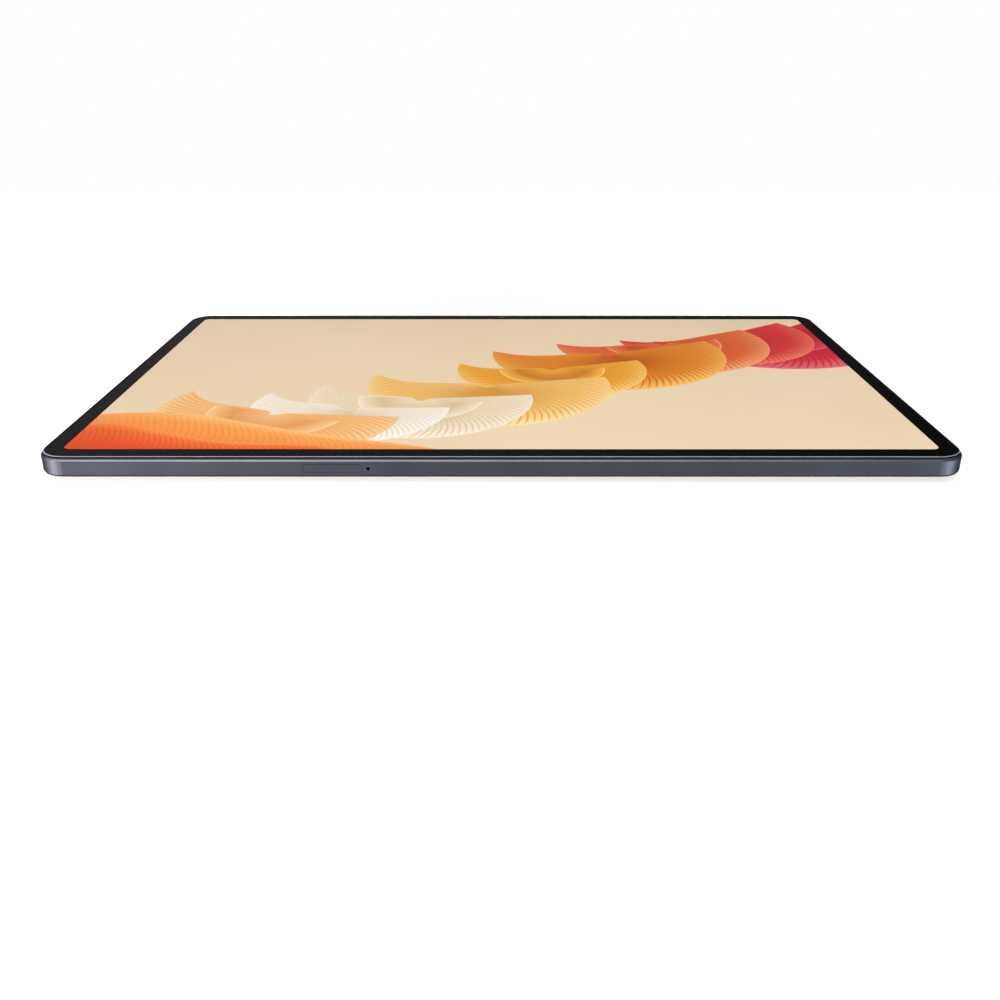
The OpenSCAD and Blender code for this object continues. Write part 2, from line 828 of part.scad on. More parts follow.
module speaker(side, row) {
    x = [speaker_x - 5.7, speaker_x + 5.1];
    length = 31;
    translate([0, row * speaker_y, 0]) scale([side, 1, 1]) difference() {
        union() {
            block(x, [-length / 2, length / 2], [back_t + 0.1, 4]);
            block([speaker_x - 3.4, speaker_x + 1.4], [-speaker_reach - 2.4, speaker_reach + 2.4],
                [board_z, board_top]);
        }
        translate([speaker_x - 0.6, 0, 3.7]) linear_extrude(far) rounded(8.6, 22, 3);
        translate([speaker_x - 0.6, 0, 3.5]) linear_extrude(far) rounded(6.4, 19.8, 2);
        slot_x(0, port_z, 24, 1.6, [speaker_x + 3.9, past]);
        for (e = [-1, 1]) post([speaker_x - 1, e * speaker_reach], screw_hole_r, [0, far]);
    }
}

module speaker_left_top() {
    color("dimgray") speaker(-1, 1);
}

module speaker_left_bottom() {
    color("dimgray") speaker(-1, -1);
}

module speaker_right_top() {
    color("dimgray") speaker(1, 1);
}

module speaker_right_bottom() {
    color("dimgray") speaker(1, -1);
}

module speaker_meshes() {
    color("black") for (side = [-1, 1], row = [-1, 1])
        slot_x(row * speaker_y, port_z, 25, 2.4,
            side > 0 ? [half_l - wall_low - 0.2, half_l - wall_low]
                : [-half_l + wall_low, -half_l + wall_low + 0.2]);
}

module microphones() {
    color("gold") for (x = mic_x)
        block([x - 1.75, x + 1.75], [half_w - wall_low - 1.1, half_w - wall_low],
            [port_z - 1.3, port_z + 1.3]);
}

// Antennas

module wifi_antenna() {
    color("goldenrod") union() {
        block([67, 95], [60, 77], [back_t, back_t + 0.1]);
        block([67, 71], [60, 64], [back_t, board_top]);
    }
}

module cell_antenna() {
    color("goldenrod") union() {
        block([99, 123], [60, 77], [back_t, back_t + 0.1]);
        block([101, 105], [60, 64], [back_t, board_top]);
    }
}

module coax_cable() {
    z = board_top + 0.45;
    bend = 4;
    run_y = 56;
    color("black") union() {
        rod_x(run_y, z, 0.35, [58, 103 - bend]);
        translate([103 - bend, run_y + bend, z]) rotate([0, 0, -90])
            rotate_extrude(angle = 90) translate([bend, 0]) circle(r = 0.35);
        rod_y(103, z, 0.35, [run_y + bend, run_y + bend + 2]);
        post([58, run_y], 1, [board_top, board_top + 0.9]);
        post([103, run_y + bend + 2], 1, [board_top, board_top + 0.9]);
    }
}

module screws() {
    color("silver") for (p = all_screws) union() {
        difference() {
            post(p, screw_head_r, [board_top, board_top + screw_head_h]);
            post(p, 0.45, [board_top + 0.2, board_top + 1]);
        }
        post(p, screw_r, [thread_floor + 0.1, board_top]);
    }
}

rear_housing();
antenna_strip();
mid_frame();
display_rim();
display_adhesive();
cover_glass();
lcd_panel();
light_guide();
backlight_tray();
display_flex();
display_board();
display_link();
front_camera();
light_sensor();
battery_cell_left();
battery_cell_right();
battery_tape();
battery_board();
battery_flex();
main_board();
processor_shield();
radio_shield();
graphite_sheet();
camera_base_ring();
camera_disc();
camera_carrier();
camera_trim_ring();
flash_trim_ring();
camera_window();
flash_window();
rear_camera();
rear_lens_barrel();
flash_led();
camera_bracket();
volume_rocker();
volume_switch_board();
power_button();
power_switch_board();
key_domes();
sim_tray();
sim_tray_seal();
sim_reader();
sim_board();
sim_flex();
eject_rod();
eject_lever();
usb_shell();
usb_tongue();
port_board();
port_flex();
speaker_left_top();
speaker_left_bottom();
speaker_right_top();
speaker_right_bottom();
speaker_meshes();
microphones();
wifi_antenna();
cell_antenna();
coax_cable();
screws();
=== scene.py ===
# %% [markdown]
# # A tablet computer, lying with its screen up
# The CAD parts give every shape that fits or moves: the metal housing, the glass, the keys, the card tray
# and the camera island. This script gives them their looks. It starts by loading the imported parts, which
# stay as they are.

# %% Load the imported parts
import json
import math

import bmesh
import bpy
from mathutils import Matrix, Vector


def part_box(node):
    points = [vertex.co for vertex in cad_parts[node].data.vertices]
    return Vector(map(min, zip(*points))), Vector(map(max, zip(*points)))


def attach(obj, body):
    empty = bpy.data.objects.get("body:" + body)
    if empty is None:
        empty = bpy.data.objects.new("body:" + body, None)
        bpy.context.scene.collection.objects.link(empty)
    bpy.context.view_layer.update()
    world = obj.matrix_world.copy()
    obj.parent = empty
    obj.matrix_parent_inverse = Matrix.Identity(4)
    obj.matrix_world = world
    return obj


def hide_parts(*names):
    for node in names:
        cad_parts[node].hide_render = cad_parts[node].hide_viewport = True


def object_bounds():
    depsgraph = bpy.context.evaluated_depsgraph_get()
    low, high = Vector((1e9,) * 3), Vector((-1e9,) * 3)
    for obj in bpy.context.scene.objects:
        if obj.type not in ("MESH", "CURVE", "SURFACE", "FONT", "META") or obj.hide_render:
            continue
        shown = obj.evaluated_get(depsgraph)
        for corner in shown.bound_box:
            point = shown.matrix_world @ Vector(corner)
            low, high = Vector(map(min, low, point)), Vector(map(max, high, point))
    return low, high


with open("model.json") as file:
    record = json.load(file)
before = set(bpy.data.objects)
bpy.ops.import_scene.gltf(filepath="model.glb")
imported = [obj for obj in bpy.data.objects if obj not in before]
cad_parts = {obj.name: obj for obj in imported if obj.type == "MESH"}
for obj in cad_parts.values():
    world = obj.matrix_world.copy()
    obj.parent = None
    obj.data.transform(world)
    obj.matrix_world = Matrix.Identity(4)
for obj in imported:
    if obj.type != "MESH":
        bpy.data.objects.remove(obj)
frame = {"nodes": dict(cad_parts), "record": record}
nodes = frame["nodes"]
cad_box = [list(corner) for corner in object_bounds()]
print("CAD box, in metres:", cad_box)

# %% [markdown]
# Every size below is in metres, and MM turns millimetres into metres. The housing, the glass and the panel
# are measured in the frame, so that each new piece sits on the part that it belongs to.

# %% Measure the parts that the looks depend on
MM = 0.001
housing_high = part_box("rear_housing")[1]
glass_low, glass_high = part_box("cover_glass")
panel_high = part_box("lcd_panel")[1]
half_length = housing_high.x
half_width = housing_high.y
corner_radius = 8.5 * MM
print("body", 2 * half_length, "x", 2 * half_width, "metal top", housing_high.z, "glass top", glass_high.z)

# %% [markdown]
# ## Camera
# The camera looks down at the screen from the near long side, low enough for the sides to run together
# strongly. A short focal length close to the tablet gives that perspective, which a long lens would
# flatten.

# %% Place the camera
camera_data = bpy.data.cameras.new("camera")
camera = bpy.data.objects.new("camera", camera_data)
bpy.context.scene.collection.objects.link(camera)
camera_data.sensor_width = 36
camera_data.lens = 35.8
camera_data.clip_start = 0.01
camera_back = 256.2 * MM
camera_up = 101.9 * MM
camera_pitch = 24.18
camera_turn = 0.037
camera.location = (-0.2 * MM, glass_low.y - camera_back, glass_high.z + camera_up)
camera.rotation_euler = (math.radians(90 - camera_pitch), 0, math.radians(camera_turn))
bpy.context.scene.camera = camera
bpy.context.scene.view_settings.view_transform = "Standard"
print("camera at", [round(v, 4) for v in camera.location])

# %% [markdown]
# ## Light
# Metal and glass show what is around them, so the room matters more than the lamps. A shader is a graph of
# nodes, and the room is one too, so a few small helpers come first: they add a node, join two and fill a
# colour ramp.

# %% Define helpers for shader graphs
def link(tree, source, target):
    tree.links.new(source, target)


def add_node(tree, kind, **settings):
    """Adds a node and sets its properties, or the inputs that are named by their order, such as in_0=2."""
    node = tree.nodes.new(kind)
    for name, value in settings.items():
        if name.startswith("in_"):
            node.inputs[int(name[3:])].default_value = value
        else:
            setattr(node, name, value)
    return node


def set_ramp(node, stops):
    """Gives a colour ramp its stops, as (place, colour) pairs."""
    ramp = node.color_ramp
    while len(ramp.elements) > 1:
        ramp.elements.remove(ramp.elements[-1])
    ramp.elements[0].position = stops[0][0]
    ramp.elements[0].color = (*stops[0][1], 1)
    for place, colour in stops[1:]:
        ramp.elements.new(place).color = (*colour, 1)


print("helpers:", [helper.__name__ for helper in (link, add_node, set_ramp)])

# %% [markdown]
# The room is a gradient by height: dim at the horizon and bright overhead, as a studio with a big ceiling
# light is. Two more factors make it brighter on the left and dimmer behind the tablet, so that the long
# wall fades from left to right and the glass stays dark. Where the camera looks past the tablet, a Light
# Path node swaps the room for a plain white backdrop.

# %% Light the room
room = bpy.data.worlds.new("studio_room")
room.use_nodes = True
bpy.context.scene.world = room
tree = room.node_tree
backdrop = tree.nodes["Background"]
backdrop.inputs["Color"].default_value = (1, 1, 1, 1)
backdrop.inputs["Strength"].default_value = 1.0
direction = add_node(tree, "ShaderNodeTexCoord")
height = add_node(tree, "ShaderNodeSeparateXYZ")
gradient = add_node(tree, "ShaderNodeValToRGB")
set_ramp(gradient, [(0, (0.4, 0.4, 0.4)), (0.03, (0.1, 0.1, 0.11)), (0.35, (0.14, 0.14, 0.15)),
                    (0.6, (0.45, 0.45, 0.47)), (1, (0.95, 0.95, 0.95))])
across = add_node(tree, "ShaderNodeMapRange", in_1=-0.5, in_2=0.5, in_3=1.6, in_4=0.15)
behind = add_node(tree, "ShaderNodeMapRange", in_1=-0.3, in_2=0.7, in_3=1.2, in_4=0.6)
strength = add_node(tree, "ShaderNodeMath", operation="MULTIPLY")
surround = add_node(tree, "ShaderNodeBackground")
seen = add_node(tree, "ShaderNodeLightPath")
mix = add_node(tree, "ShaderNodeMixShader")
link(tree, direction.outputs["Generated"], height.inputs[0])
link(tree, height.outputs["Z"], gradient.inputs[0])
link(tree, height.outputs["X"], across.inputs[0])
link(tree, height.outputs["Y"], behind.inputs[0])
link(tree, across.outputs[0], strength.inputs[0])
link(tree, behind.outputs[0], strength.inputs[1])
link(tree, gradient.outputs[0], surround.inputs["Color"])
link(tree, strength.outputs[0], surround.inputs["Strength"])
link(tree, seen.outputs["Is Camera Ray"], mix.inputs[0])
link(tree, surround.outputs[0], mix.inputs[1])
link(tree, backdrop.outputs[0], mix.inputs[2])
link(tree, mix.outputs[0], tree.nodes["World Output"].inputs[0])
print(len(tree.nodes), "nodes in the room")

# %% [markdown]
# Four soft panels draw the highlights. One hangs overhead. Two narrow ones stand low at the front corners,
# for the glints on the round corners, and a weak one stands in front, left of the middle. A wide panel at a
# distance has soft shadows, while a small lamp would leave hard spots in the metal.

# %% Hang the soft panels
def soft_panel(name, place, target, size, power, colour=(1, 1, 1)):
    """A soft studio panel at place, turned to face target."""
    data = bpy.data.lights.new(name, "AREA")
    data.shape = "RECTANGLE"
    data.size = size[0]
    data.size_y = size[1]
    data.energy = power
    data.color = colour
    lamp = bpy.data.objects.new(name, data)
    bpy.context.scene.collection.objects.link(lamp)
    lamp.location = place
    lamp.rotation_euler = (Vector(target) - Vector(place)).to_track_quat("-Z", "Y").to_euler()
    print(name, "at", place, power, "W")


soft_panel("overhead_panel", (0, 0.5, 1.1), (0, 0.15, 0), (1.8, 0.8), 12)
soft_panel("left_panel", (-1.0, -0.65, 0.035), (0, 0, 0), (0.3, 0.05), 230, (1, 0.92, 0.82))
soft_panel("right_panel", (1.0, -0.65, 0.035), (0, 0, 0), (0.24, 0.05), 110)
soft_panel("front_left_panel", (-0.5, -1.1, 0.06), (0, 0, 0), (0.5, 0.1), 9)

# %% [markdown]
# ## Floor
# A wide white sheet under the camera island. It isn't part of the tablet.

# %% Lay the floor
def finish(name, colour, roughness=0.5, metallic=0.0, **sockets):
    """A new material with one Principled shader. Sockets are given by name, with _ for a space."""
    material = bpy.data.materials.new(name)
    material.use_nodes = True
    shader = material.node_tree.nodes["Principled BSDF"]
    shader.inputs["Base Color"].default_value = (*colour, 1)
    shader.inputs["Roughness"].default_value = roughness
    shader.inputs["Metallic"].default_value = metallic
    for socket, value in sockets.items():
        shader.inputs[socket.replace("_", " ")].default_value = value
    return material


def new_object(name, points, faces, material):
    mesh = bpy.data.meshes.new(name)
    mesh.from_pydata(points, [], faces)
    mesh.materials.append(material)
    made = bpy.data.objects.new(name, mesh)
    bpy.context.scene.collection.objects.link(made)
    return made


floor_z = cad_box[0][2]
reach = 0.6
floor_corners = [(x * reach, y * reach, floor_z) for x, y in ((-1, -1), (1, -1), (1, 1), (-1, 1))]
floor = new_object("floor", floor_corners, [(0, 1, 2, 3)], finish("floor_white", (0.95, 0.95, 0.95), 0.9))
print("floor", 2 * reach, "m wide, at", round(floor_z / MM, 2), "mm")

# %% [markdown]
# ## Metal finishes
# The housing is bead-blasted and anodised aluminium. Its grain is far finer than the tablet, so it shows
# mostly as a soft sheen: a noise of a fraction of a millimetre moves the roughness and the surface a
# little, and a much larger noise keeps the colour from being dead flat.

# %% Define the metal finishes
def shader_of(material):
    return material.node_tree.nodes["Principled BSDF"]


def place_in_part(tree, stretch):
    """The point's place on the part, stretched along X, Y and Z before a pattern reads it."""
    where = add_node(tree, "ShaderNodeTexCoord")
    scale = add_node(tree, "ShaderNodeVectorMath", operation="MULTIPLY", in_1=stretch)
    link(tree, where.outputs["Object"], scale.inputs[0])
    return scale.outputs[0]


def vary_colour(material, place, dark, light, scale, detail=2.0):
    """Moves the base colour between dark and light with a noise."""
    tree = material.node_tree
    noise = add_node(tree, "ShaderNodeTexNoise")
    noise.inputs["Scale"].default_value = scale
    noise.inputs["Detail"].default_value = detail
    ramp = add_node(tree, "ShaderNodeValToRGB")
    set_ramp(ramp, [(0.3, dark), (0.7, light)])
    link(tree, place, noise.inputs["Vector"])
    link(tree, noise.outputs[0], ramp.inputs[0])
    link(tree, ramp.outputs[0], shader_of(material).inputs["Base Color"])


def add_grain(material, place, scale, roughness, depth, detail=2.0):
    """A fine noise that moves the roughness between two values and presses the surface by depth."""
    tree = material.node_tree
    noise = add_node(tree, "ShaderNodeTexNoise")
    noise.inputs["Scale"].default_value = scale
    noise.inputs["Detail"].default_value = detail
    spread = add_node(tree, "ShaderNodeMapRange", in_1=0.3, in_2=0.7, in_3=roughness[0], in_4=roughness[1])
    press = add_node(tree, "ShaderNodeBump")
    press.inputs["Strength"].default_value = 1.0
    press.inputs["Distance"].default_value = depth
    link(tree, place, noise.inputs["Vector"])
    link(tree, noise.outputs[0], spread.inputs[0])
    link(tree, noise.outputs[0], press.inputs["Height"])
    link(tree, spread.outputs[0], shader_of(material).inputs["Roughness"])
    link(tree, press.outputs[0], shader_of(material).inputs["Normal"])


def blasted_metal(name, dark, light, roughness=(0.36, 0.44), depth=0.004 * MM):
    metal = finish(name, light, roughness[1], 1.0, Specular_Tint=(0.3, 0.3, 0.33, 1))
    place = place_in_part(metal.node_tree, (1, 1, 1))
    vary_colour(metal, place, dark, light, 60)
    add_grain(metal, place, 6000, roughness, depth)
    return metal


housing_finish = blasted_metal("anodised_housing", (0.026, 0.028, 0.0365), (0.03, 0.0325, 0.042),
                               (0.28, 0.34))
key_finish = blasted_metal("anodised_keys", (0.029, 0.031, 0.04), (0.034, 0.0365, 0.047), (0.26, 0.32))
print("metals:", housing_finish.name, key_finish.name)

# %% [markdown]
# ## Dark plastic, sheet metal and the pieces inside
# Each inner part gets a plain but real finish: moulded plastic with a fine matte grain, rolled sheet with
# streaks along one direction, green circuit board, amber film cable. The same three recipes serve them all,
# with other colours and grain, so a new part only needs one more line in the table of finishes.

# %% Define the other finishes
def moulded(name, dark, light, roughness=(0.45, 0.6), scale=2500, depth=0.006 * MM, **sockets):
    plastic = finish(name, light, roughness[1], 0.0, **sockets)
    place = place_in_part(plastic.node_tree, (1, 1, 1))
    vary_colour(plastic, place, dark, light, 90)
    add_grain(plastic, place, scale, roughness, depth)
    return plastic


def rolled_sheet(name, dark, light, roughness=(0.22, 0.38)):
    sheet = finish(name, light, roughness[1], 1.0)
    place = place_in_part(sheet.node_tree, (1, 30, 30))
    vary_colour(sheet, place, dark, light, 80)
    add_grain(sheet, place, 150, roughness, 0.003 * MM)
    return sheet


def coated_glass(name, dark, light, roughness, scale=40, **sockets):
    """Smooth glass. Its coating is never quite even, so a faint noise moves its tint."""
    coated = finish(name, light, roughness, 0.0, **sockets)
    vary_colour(coated, place_in_part(coated.node_tree, (1, 1, 1)), dark, light, scale)
    return coated


finishes = {
    "housing_metal": housing_finish,
    "strip_metal": housing_finish,
    "key_metal": key_finish,
    "rim_plastic": moulded("rim_plastic", (0.004, 0.004, 0.005), (0.007, 0.007, 0.008), (0.75, 0.85),
                           Specular_IOR_Level=0.05),
    "screen": moulded("panel_plastic", (0.02, 0.02, 0.02), (0.03, 0.03, 0.03)),
    "diffuser": moulded("diffuser", (0.75, 0.75, 0.74), (0.82, 0.82, 0.8), (0.2, 0.3)),
    "adhesive": moulded("foam_tape", (0.01, 0.01, 0.01), (0.02, 0.02, 0.02), (0.8, 0.9), 1500, 0.02 * MM),
    "sheet_steel": rolled_sheet("sheet_steel", (0.5, 0.5, 0.5), (0.62, 0.62, 0.62)),
    "battery_foil": rolled_sheet("battery_foil", (0.34, 0.34, 0.35), (0.42, 0.42, 0.43), (0.35, 0.5)),
    "circuit_board": moulded("solder_mask", (0.004, 0.05, 0.02), (0.008, 0.08, 0.035), (0.25, 0.35)),
    "flex_cable": moulded("amber_film", (0.3, 0.12, 0.02), (0.42, 0.18, 0.03), (0.25, 0.35)),
    "graphite": moulded("graphite_film", (0.02, 0.02, 0.022), (0.035, 0.035, 0.038), (0.3, 0.45)),
    "camera_metal": blasted_metal("black_metal", (0.02, 0.021, 0.026), (0.026, 0.027, 0.033), (0.25, 0.32)),
    "camera_plastic": moulded("black_camera_plastic", (0.006, 0.006, 0.006), (0.012, 0.012, 0.012)),
    "flash_resin": moulded("flash_resin", (0.7, 0.55, 0.16), (0.8, 0.66, 0.25), (0.1, 0.2)),
    "black_plastic": moulded("black_plastic", (0.008, 0.008, 0.008), (0.015, 0.015, 0.015)),
    "seal_rubber": moulded("seal_rubber", (0.01, 0.01, 0.01), (0.018, 0.018, 0.018), (0.6, 0.75)),
    "mesh": moulded("woven_mesh", (0.004, 0.004, 0.004), (0.03, 0.03, 0.03), (0.4, 0.5), 4000, 0.03 * MM),
    "microphone_metal": rolled_sheet("gold_can", (0.65, 0.45, 0.15), (0.75, 0.55, 0.22)),
    "steel": rolled_sheet("turned_steel", (0.55, 0.55, 0.55), (0.65, 0.65, 0.65)),
    "lens_glass": coated_glass("coated_lens_glass", (0.018, 0.018, 0.027), (0.022, 0.022, 0.033), 0.03,
                               IOR=1.5),
    "cover_glass": coated_glass("plain_glass", (0.018, 0.018, 0.018), (0.022, 0.022, 0.022), 0.03),
}
for part in frame["record"]["subparts"]:
    mesh = nodes[part["node"]].data
    mesh.materials.clear()
    mesh.materials.append(finishes[part["material_slot"]])

# %% [markdown]
# ## Shapes that follow the tablet's outline
# The glass, its edge and the printed border all share one outline: a rectangle with round corners. Each is
# a stack of such loops, joined row by row. Building them from loops keeps the corners truly round and the
# edge rows even, which a bevelled box wouldn't do as cleanly.

# %% Define loops and how they are joined
def rounded_loop(half_x, half_y, radius, z, steps=14):
    """Points round a rectangle with round corners, anticlockwise from above."""
    points = []
    for turn, (side_x, side_y) in enumerate([(1, 1), (-1, 1), (-1, -1), (1, -1)]):
        for k in range(steps + 1):
            angle = (turn + k / steps) * math.pi / 2
            points.append((side_x * (half_x - radius) + radius * math.cos(angle),
                           side_y * (half_y - radius) + radius * math.sin(angle), z))
    return points


def join_loops(loops):
    """Points and faces of a skin over loops of equal count, one row of faces from each loop to the next."""
    count = len(loops[0])
    points = [point for loop in loops for point in loop]
    faces = []
    for row in range(len(loops) - 1):
        this = row * count
        after = this + count
        for k in range(count):
            right = (k + 1) % count
            faces.append((this + k, this + right, after + right, after + k))
    return points, faces


def cap_ends(points, faces, count):
    """Closes a skin with a face over its first loop and one over its last."""
    faces.append(tuple(reversed(range(count))))
    faces.append(tuple(range(len(points) - count, len(points))))


def ride_body(made, body="body", smooth=True):
    """Sets a new piece's shading and puts it on its body."""
    for face in made.data.polygons:
        face.use_smooth = smooth
    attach(made, body)


def flatten_caps(made):
    """Shades the two end faces flat, so that the round skin's shading doesn't bend over them."""
    for face in list(made.data.polygons)[-2:]:
        face.use_smooth = False


print(len(rounded_loop(half_length, half_width, corner_radius, 0)), "points in one loop")

# %% [markdown]
# ## Cover glass
# The cover glass is a flat sheet with a round edge, which the eye catches as a thin grey line all
# round. That grey line is a painted reflection: the upper rows of the edge get an opaque grey-blue colour
# that stands in for the light the rounded edge reflects, with a fine grain in its gloss. The flat top is
# real clear glass, with a low index that stands for its coating and keeps its reflection weak. The lowest
# part of the edge and the rim under it are painted black from behind, as they are on the real sheet, so
# that no light of the display leaks out sideways. Three materials on one mesh do that, chosen row by row.

# %% Shape the cover glass
edge_width = 0.4 * MM
edge_height = 0.3 * MM
ink_height = 0.3 * MM
ink_inset = 0.8 * MM
ink_z = glass_low.z + ink_height
glass_half = (glass_high.x, glass_high.y)
glass_radius = corner_radius - (half_length - glass_high.x)


def glass_loop(inset, z):
    return rounded_loop(glass_half[0] - inset, glass_half[1] - inset, glass_radius - inset, z)


edge_steps = 5
edge_turns = [k / edge_steps * math.pi / 2 for k in range(edge_steps + 1)]
glass_loops = [glass_loop(ink_inset, ink_z), glass_loop(ink_inset, glass_low.z), glass_loop(0, glass_low.z)]
glass_loops += [glass_loop(edge_width * (1 - math.cos(a)), glass_high.z - edge_height * (1 - math.sin(a)))
                for a in edge_turns]
points, faces = join_loops(glass_loops)
ring = len(glass_loops[0])
cap_ends(points, faces, ring)
print("glass", [round(2 * side / MM, 1) for side in glass_half], "mm,", len(faces), "faces")

# %% Finish the cover glass
clear_glass = coated_glass("clear_glass", (0.985, 0.987, 0.99), (1, 1, 1), 0.0,
                           Transmission_Weight=1.0, IOR=1.18)
# The edge's grey-blue colour is a painted reflection: it stands in for the light that the rounded edge
# reflects.
edge_painted_reflection = finish("glass_edge_painted_reflection", (0.05, 0.054, 0.068), 0.3, Specular_IOR_Level=0.12)
place = place_in_part(edge_painted_reflection.node_tree, (1, 1, 1))
add_grain(edge_painted_reflection, place, 3000, (0.3, 0.38), 0.0003 * MM)
ink = finish("black_ink", (0.0004, 0.0004, 0.0005), 1.0, Specular_IOR_Level=0.0)
place = place_in_part(ink.node_tree, (1, 1, 1))
vary_colour(ink, place, (0.0003, 0.0003, 0.0004), (0.0005, 0.0005, 0.0006), 40)
glass = new_object("cover_glass_sheet", points, faces, clear_glass)
glass.data.materials.append(edge_painted_reflection)
glass.data.materials.append(ink)
ride_body(glass)
flatten_caps(glass)
ink_faces = range(5 * ring)
edge_faces = range(5 * ring, (len(glass_loops) - 1) * ring)
for index in ink_faces:
    glass.data.polygons[index].material_index = 2
# The upper rows of the edge get the painted reflection.
for index in edge_faces:
    glass.data.polygons[index].material_index = 1
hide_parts("cover_glass")
print(len(ink_faces), "faces with ink,", len(edge_faces), "ground and polished")

# %% [markdown]
# The black border is the same ink, printed on the back of the glass. It is a flat ring: outside it hides
# the adhesive, and inside it ends in the opening of the picture. It could be a dark stripe in the picture
# instead, but a ring of its own keeps its edge sharp and lies above the picture, as it does on the real
# glass.

# %% Print the border
border_gap = 0.01 * MM
border_z = ink_z - border_gap
opening = (panel_high.x - 2.0 * MM, panel_high.y - 1.5 * MM)
opening_radius = 2.2 * MM
border_loops = [glass_loop(ink_inset, border_z), rounded_loop(*opening, opening_radius, border_z)]
points, faces = join_loops(border_loops)
border = new_object("printed_border", points, faces, ink)
ride_body(border, smooth=False)
print("opening", [round(2 * side / MM, 1) for side in opening], "mm")

# %% [markdown]
# ## Picture
# The panel shows a made-up wallpaper of ribbed paper on sand. An image file could hold it, but a rule in
# the shader stays sharp at any size. So each sheet of paper has a UV map that says how far along the sheet
# and how far across it a point lies. Its colour is a ramp across, and its ribs are a count along. The
# display makes its own light, so the colours go to the emission and the surface under them is black.

# %% Define the lit finishes
def rgb(red, green, blue):
    """A screen colour from 0 to 255, as the linear numbers that a shader takes."""
    shown = (red, green, blue)
    return tuple(((v / 255 + 0.055) / 1.055) ** 2.4 if v > 10 else v / 255 / 12.92 for v in shown)


panel_glow = 1.22


def glow(name, colour):
    """A black surface that shines with one colour."""
    lit = finish(name, (0, 0, 0), 0.5, Specular_IOR_Level=0.0)
    shader_of(lit).inputs["Emission Color"].default_value = (*colour, 1)
    shader_of(lit).inputs["Emission Strength"].default_value = panel_glow
    return lit


def sheet_finish(name, across, ribs, rib_colour, rib_reach, shade=None):
    """A lit sheet of ribbed paper. across gives its colours from the first curve to the second, ribs says how
    many lines cross it, rib_reach how strong they are from curve to curve, and shade, if there is one, which
    colour comes in along the sheet and where."""
    lit = glow(name, across[0][1])
    tree = lit.node_tree
    where = add_node(tree, "ShaderNodeUVMap")
    split = add_node(tree, "ShaderNodeSeparateXYZ")
    link(tree, where.outputs[0], split.inputs[0])
    colours = add_node(tree, "ShaderNodeValToRGB")
    set_ramp(colours, across)
    link(tree, split.outputs["Y"], colours.inputs[0])
    shown = colours.outputs[0]
    if shade:
        shade_colour, shade_places = shade
        amount = add_node(tree, "ShaderNodeValToRGB")
        set_ramp(amount, [(spot, (value, value, value)) for spot, value in shade_places])
        blend = add_node(tree, "ShaderNodeMix", data_type="RGBA")
        blend.inputs[7].default_value = (*shade_colour, 1)
        link(tree, split.outputs["X"], amount.inputs[0])
        link(tree, amount.outputs[0], blend.inputs[0])
        link(tree, shown, blend.inputs[6])
        shown = blend.outputs[2]
    count = add_node(tree, "ShaderNodeMath", operation="MULTIPLY", in_1=ribs)
    fold = add_node(tree, "ShaderNodeMath", operation="PINGPONG", in_1=0.5)
    line = add_node(tree, "ShaderNodeMapRange", in_1=0.3, in_2=0.44)
    reach_ramp = add_node(tree, "ShaderNodeValToRGB")
    set_ramp(reach_ramp, [(spot, (value, value, value)) for spot, value in rib_reach])
    strength = add_node(tree, "ShaderNodeMath", operation="MULTIPLY")
    ribbed = add_node(tree, "ShaderNodeMix", data_type="RGBA")
    ribbed.inputs[7].default_value = (*rib_colour, 1)
    link(tree, split.outputs["X"], count.inputs[0])
    link(tree, count.outputs[0], fold.inputs[0])
    link(tree, fold.outputs[0], line.inputs[0])
    link(tree, split.outputs["Y"], reach_ramp.inputs[0])
    link(tree, line.outputs[0], strength.inputs[0])
    link(tree, reach_ramp.outputs[0], strength.inputs[1])
    link(tree, strength.outputs[0], ribbed.inputs[0])
    link(tree, shown, ribbed.inputs[6])
    link(tree, ribbed.outputs[2], shader_of(lit).inputs["Emission Color"])
    return lit


print("the panel glows at", panel_glow)

# %% [markdown]
# A sheet is a mesh stretched between two smooth curves. The curves go through a few points, with a Catmull-
# Rom rule that needs no handles. What reaches past the border is cut off, and each sheet lies a little
# above the one before, so that they overlap as paper does and never share a plane. All of them fit between
# the panel and the ink.

# %% Define how a sheet is laid
layer_gap = 0.015 * MM
tucked = 1.2 * MM
layers_laid = 1


def smooth_path(points, count):
    """count places along a smooth curve through the points."""
    ends = [points[0]] + list(points) + [points[-1]]
    path = []
    for k in range(count):
        along = k / (count - 1) * (len(points) - 1)
        start = min(int(along), len(points) - 2)
        t = along - start
        p0, p1, p2, p3 = (Vector(ends[start + step]) for step in range(4))
        path.append(0.5 * (2 * p1 + (p2 - p0) * t + (2 * p0 - 5 * p1 + 4 * p2 - p3) * t * t
                           + (3 * p1 - p0 - 3 * p2 + p3) * t ** 3))
    return path


def trim_to_border(mesh):
    """Cuts off what reaches further than the edge tucked under the border, and turns the mesh face up."""
    cut = bmesh.new()
    cut.from_mesh(mesh)
    for side in ((1, 0), (-1, 0), (0, 1), (0, -1)):
        limit = (opening[0] + tucked) * abs(side[0]) + (opening[1] + tucked) * abs(side[1])
        every = cut.verts[:] + cut.edges[:] + cut.faces[:]
        bmesh.ops.bisect_plane(cut, geom=every, plane_co=(side[0] * limit, side[1] * limit, 0),
                               plane_no=(side[0], side[1], 0), clear_outer=True)
    cut.normal_update()
    upward = sum(face.normal.z * face.calc_area() for face in cut.faces)
    if upward < 0:
        bmesh.ops.reverse_faces(cut, faces=cut.faces[:])
    cut.to_mesh(mesh)
    cut.free()


